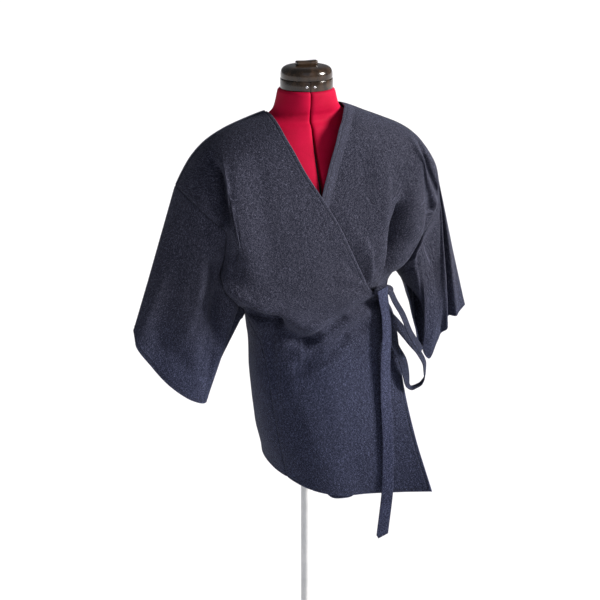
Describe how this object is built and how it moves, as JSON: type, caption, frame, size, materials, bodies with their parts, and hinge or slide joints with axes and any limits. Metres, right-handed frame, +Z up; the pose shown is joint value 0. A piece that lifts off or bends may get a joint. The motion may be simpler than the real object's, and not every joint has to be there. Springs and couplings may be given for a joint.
{
  "type": "kimono wrap jacket on a dress form with stand",
  "caption": "Wrap kimono jacket with wide dropped sleeves and a side tie, worn on a limbless dress form with a neck cap, on a weighted pole stand.",
  "frame": {"origin": "centre of the round base's underside, on the pole's axis", "axes": "+Z up along the pole, -Y towards the jacket's front, +X towards the wearer's left"},
  "size_m": [0.764, 0.4179, 1.4553],
  "materials": {
    "cloth": "indigo melange weave, matte",
    "form_cover": "red stretch cover, matte",
    "cap_plastic": "smoked black, glossy",
    "form_core": "black, matte",
    "screw_steel": "bright round heads",
    "stand_steel": "pale grey paint, satin"
  },
  "bodies": {
    "root": {"front_right": "cloth", "front_left": "cloth", "back": "cloth", "sleeve_right": "cloth", "sleeve_left": "cloth", "tie_long_tail": "cloth", "tie_short_tail": "cloth", "tie_loop": "cloth", "tie_knot": "cloth", "form_right": "form_cover", "form_left": "form_cover", "neck_ring_left": "cap_plastic", "neck_ring_right": "cap_plastic", "neck_cap": "cap_plastic", "cap_grip": "cap_plastic", "form_core": "form_core", "ring_screw_1": "screw_steel", "ring_screw_2": "screw_steel", "ring_screw_3": "screw_steel", "ring_screw_4": "screw_steel", "base": "stand_steel", "pole": "stand_steel"}
  },
  "joints": []
}
